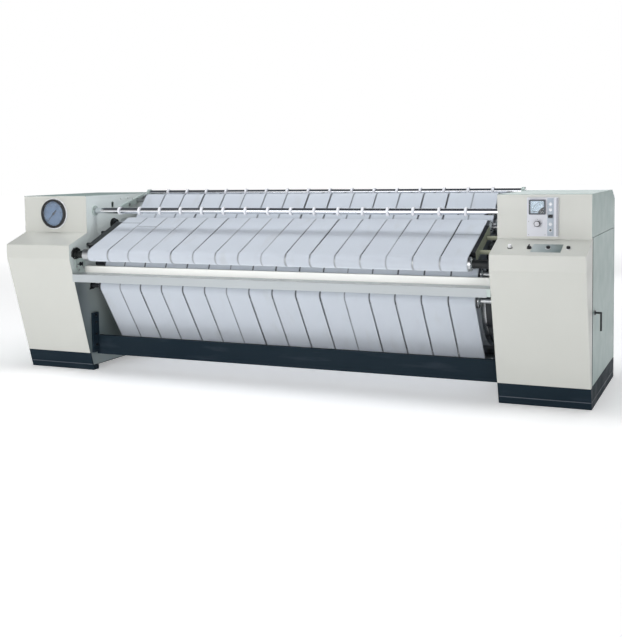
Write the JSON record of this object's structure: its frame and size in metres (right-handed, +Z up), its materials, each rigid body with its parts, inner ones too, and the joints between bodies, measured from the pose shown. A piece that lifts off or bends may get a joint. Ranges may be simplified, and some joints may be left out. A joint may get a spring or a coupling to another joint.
{
  "type": "flatwork ironer",
  "caption": "Roller ironer for flat linen: two end cabinets, steam-heated cylinder, ironing belts, sloping feed belts, delivery tray, pressure gauge and control panel.",
  "frame": {"origin": "middle of the footprint, on the floor", "axes": "+X along the machine towards the control cabinet, +Y from the feed side to the rear, +Z up"},
  "size_m": [4.26, 1.329, 1.325],
  "materials": {
    "cream_paint": "satin",
    "green_paint": "satin",
    "navy_paint": "satin",
    "white_paint": "satin",
    "belt_canvas": "woven",
    "cylinder_steel": "polished",
    "roller_steel": "brushed",
    "rod_chrome": "polished",
    "ring_nylon": "smooth",
    "bearing_iron": "cast",
    "sprocket_steel": "oiled",
    "chain_steel": "oiled",
    "gearbox_iron": "painted casting",
    "motor_paint": "painted casting",
    "box_grey": "powder coated",
    "pipe_steel": "galvanised",
    "joint_brass": "turned",
    "handle_black": "satin",
    "hinge_steel": "plated",
    "gauge_metal": "gloss",
    "needle_metal": "painted",
    "panel_paint": "satin",
    "meter_plastic": "gloss",
    "knob_plastic": "gloss",
    "switch_plastic": "gloss",
    "lamp_plastic": "clear",
    "button_white": "gloss",
    "button_black": "gloss"
  },
  "bodies": {
    "frame": {"base_left": "navy_paint", "base_right": "navy_paint", "front_beam": "navy_paint", "rear_beam": "navy_paint", "end_plate_left": "green_paint", "end_plate_right": "green_paint", "front_cover_left": "cream_paint", "front_cover_right": "cream_paint", "top_cover_left": "green_paint", "top_cover_right": "green_paint", "rear_cover_left": "green_paint", "rear_cover_right": "green_paint", "rear_guard": "green_paint", "door_pivots": "hinge_steel", "delivery_tray": "cream_paint", "riser_beam": "cream_paint", "tray_brackets": "green_paint", "divider_rods": "rod_chrome", "divider_rings": "ring_nylon", "plate_fittings": "green_paint", "shaft_bearings": "bearing_iron", "feed_bed": "green_paint", "feed_belts": "belt_canvas", "ironing_belts": "belt_canvas", "drive_chain": "chain_steel", "feed_chain": "chain_steel", "gearbox": "gearbox_iron", "drive_motor": "motor_paint", "electrical_box": "box_grey", "rotary_joint": "joint_brass", "steam_pipes": "pipe_steel", "gauge_case": "gauge_metal", "control_panel": "panel_paint", "panel_meter": "meter_plastic", "indicator_lamps": "lamp_plastic"},
    "cylinder": {"ironing_cylinder": "cylinder_steel", "cylinder_sprocket": "sprocket_steel"},
    "drive_wheel": {"drive_sprocket": "sprocket_steel"},
    "feed_front": {"feed_roller_front": "roller_steel"},
    "feed_rear": {"feed_roller_rear": "roller_steel"},
    "door_left": {"side_door_left": "green_paint"},
    "door_right": {"side_door_right": "green_paint"},
    "handle_left": {"door_handle_left": "handle_black"},
    "handle_right": {"door_handle_right": "handle_black"},
    "gauge_pointer": {"gauge_needle": "needle_metal"},
    "meter_pointer": {"meter_needle": "needle_metal"},
    "knob": {"speed_knob": "knob_plastic"},
    "rocker": {"power_switch": "switch_plastic"},
    "reset": {"reset_button": "button_black"},
    "start": {"start_button": "button_white"},
    "selector": {"mode_selector": "button_black"},
    "stop": {"stop_button": "button_black"},
    "jog": {"jog_button": "button_black"},
    "nip_roller_turns": {"nip_roller": "roller_steel"},
    "exit_roller_turns": {"exit_roller": "roller_steel"},
    "front_return_roller_turns": {"front_return_roller": "roller_steel"},
    "lower_front_roller_turns": {"lower_front_roller": "roller_steel"},
    "lower_rear_roller_turns": {"lower_rear_roller": "roller_steel"},
    "rear_return_roller_turns": {"rear_return_roller": "roller_steel"},
    "top_return_roller_turns": {"top_return_roller": "roller_steel"}
  },
  "joints": [
    {"name": "cylinder_spin", "type": "hinge", "parent": "frame", "child": "cylinder", "pos_m": [0, 0.06448, 0.65502], "axis": [-1, 0, 0], "continuous": true},
    {"name": "nip_roller_spin", "type": "hinge", "parent": "frame", "child": "nip_roller_turns", "pos_m": [0, 0.06448, 1.07882], "axis": [-1, 0, 0], "continuous": true},
    {"name": "exit_roller_spin", "type": "hinge", "parent": "frame", "child": "exit_roller_turns", "pos_m": [0, -0.33243, 0.7948], "axis": [-1, 0, 0], "continuous": true},
    {"name": "front_return_roller_spin", "type": "hinge", "parent": "frame", "child": "front_return_roller_turns", "pos_m": [0, -0.40058, 0.63472], "axis": [-1, 0, 0], "continuous": true},
    {"name": "lower_front_roller_spin", "type": "hinge", "parent": "frame", "child": "lower_front_roller_turns", "pos_m": [0, -0.10094, 0.18], "axis": [-1, 0, 0], "continuous": true},
    {"name": "lower_rear_roller_spin", "type": "hinge", "parent": "frame", "child": "lower_rear_roller_turns", "pos_m": [0, 0.45458, 0.1801], "axis": [-1, 0, 0], "continuous": true},
    {"name": "rear_return_roller_spin", "type": "hinge", "parent": "frame", "child": "rear_return_roller_turns", "pos_m": [0, 0.50922, 1.04027], "axis": [-1, 0, 0], "continuous": true},
    {"name": "top_return_roller_spin", "type": "hinge", "parent": "frame", "child": "top_return_roller_turns", "pos_m": [0, 0.22257, 1.24501], "axis": [-1, 0, 0], "continuous": true},
    {"name": "feed_rear_spin", "type": "hinge", "parent": "frame", "child": "feed_rear", "pos_m": [0, -0.10523, 1.07719], "axis": [-1, 0, 0], "continuous": true},
    {"name": "feed_front_spin", "type": "hinge", "parent": "frame", "child": "feed_front", "pos_m": [0, -0.59522, 0.88318], "axis": [-1, 0, 0], "continuous": true},
    {"name": "drive_sprocket_spin", "type": "hinge", "parent": "frame", "child": "drive_wheel", "pos_m": [0, 0.11448, 0.3], "axis": [-1, 0, 0], "continuous": true},
    {"name": "door_left_swing", "type": "hinge", "parent": "frame", "child": "door_left", "pos_m": [-2.075, 0.58452, 0.5885], "axis": [0, 0, -1], "range_deg": [0, 110]},
    {"name": "handle_left_turn", "type": "hinge", "parent": "door_left", "child": "handle_left", "pos_m": [-2.085, -0.32352, 0.579], "axis": [1, 0, 0], "range_deg": [0, 90]},
    {"name": "door_right_swing", "type": "hinge", "parent": "frame", "child": "door_right", "pos_m": [2.075, 0.58452, 0.5885], "axis": [0, 0, 1], "range_deg": [0, 110]},
    {"name": "handle_right_turn", "type": "hinge", "parent": "door_right", "child": "handle_right", "pos_m": [2.085, -0.32352, 0.579], "axis": [1, 0, 0], "range_deg": [0, 90]},
    {"name": "gauge_needle_turn", "type": "hinge", "parent": "frame", "child": "gauge_pointer", "pos_m": [-1.809, -0.45652, 1.16801], "axis": [0, 1, 0], "range_deg": [0, 270], "stiffness_Nm_per_rad": 0.01},
    {"name": "meter_needle_turn", "type": "hinge", "parent": "frame", "child": "meter_pointer", "pos_m": [1.797, -0.46652, 1.19601], "axis": [0, 1, 0], "range_deg": [0, 85], "stiffness_Nm_per_rad": 0.002},
    {"name": "speed_knob_turn", "type": "hinge", "parent": "frame", "child": "knob", "pos_m": [1.768, -0.45752, 1.12201], "axis": [0, 1, 0], "range_deg": [0, 270]},
    {"name": "power_switch_rock", "type": "hinge", "parent": "frame", "child": "rocker", "pos_m": [1.845, -0.45602, 1.16701], "axis": [1, 0, 0], "range_deg": [0, 16]},
    {"name": "reset_button_press", "type": "slide", "parent": "frame", "child": "reset", "axis": [0, 1, 0], "range_m": [0, 0.003], "stiffness_N_per_m": 400},
    {"name": "start_button_press", "type": "slide", "parent": "frame", "child": "start", "axis": [0, 0.3317, -0.9434], "range_m": [0, 0.004], "stiffness_N_per_m": 500},
    {"name": "stop_button_press", "type": "slide", "parent": "frame", "child": "stop", "axis": [0, 0.3317, -0.9434], "range_m": [0, 0.004], "stiffness_N_per_m": 500},
    {"name": "jog_button_press", "type": "slide", "parent": "frame", "child": "jog", "axis": [0, 0.3317, -0.9434], "range_m": [0, 0.004], "stiffness_N_per_m": 500},
    {"name": "mode_selector_turn", "type": "hinge", "parent": "frame", "child": "selector", "pos_m": [1.741, -0.57052, 0.98406], "axis": [0, -0.3317, 0.9434], "range_deg": [-45, 45]}
  ],
  "couplings": [
    {"joint": "nip_roller_spin", "follows": "cylinder_spin", "ratio": -8.3942},
    {"joint": "exit_roller_spin", "follows": "cylinder_spin", "ratio": -8.9952},
    {"joint": "front_return_roller_spin", "follows": "cylinder_spin", "ratio": -7.5531},
    {"joint": "lower_front_roller_spin", "follows": "cylinder_spin", "ratio": -8.0362},
    {"joint": "lower_rear_roller_spin", "follows": "cylinder_spin", "ratio": -8.0362},
    {"joint": "rear_return_roller_spin", "follows": "cylinder_spin", "ratio": -8.3942},
    {"joint": "top_return_roller_spin", "follows": "cylinder_spin", "ratio": -8.3942},
    {"joint": "feed_rear_spin", "follows": "cylinder_spin", "ratio": 8},
    {"joint": "feed_front_spin", "follows": "cylinder_spin", "ratio": 8},
    {"joint": "drive_sprocket_spin", "follows": "cylinder_spin", "ratio": 3.2667}
  ]
}
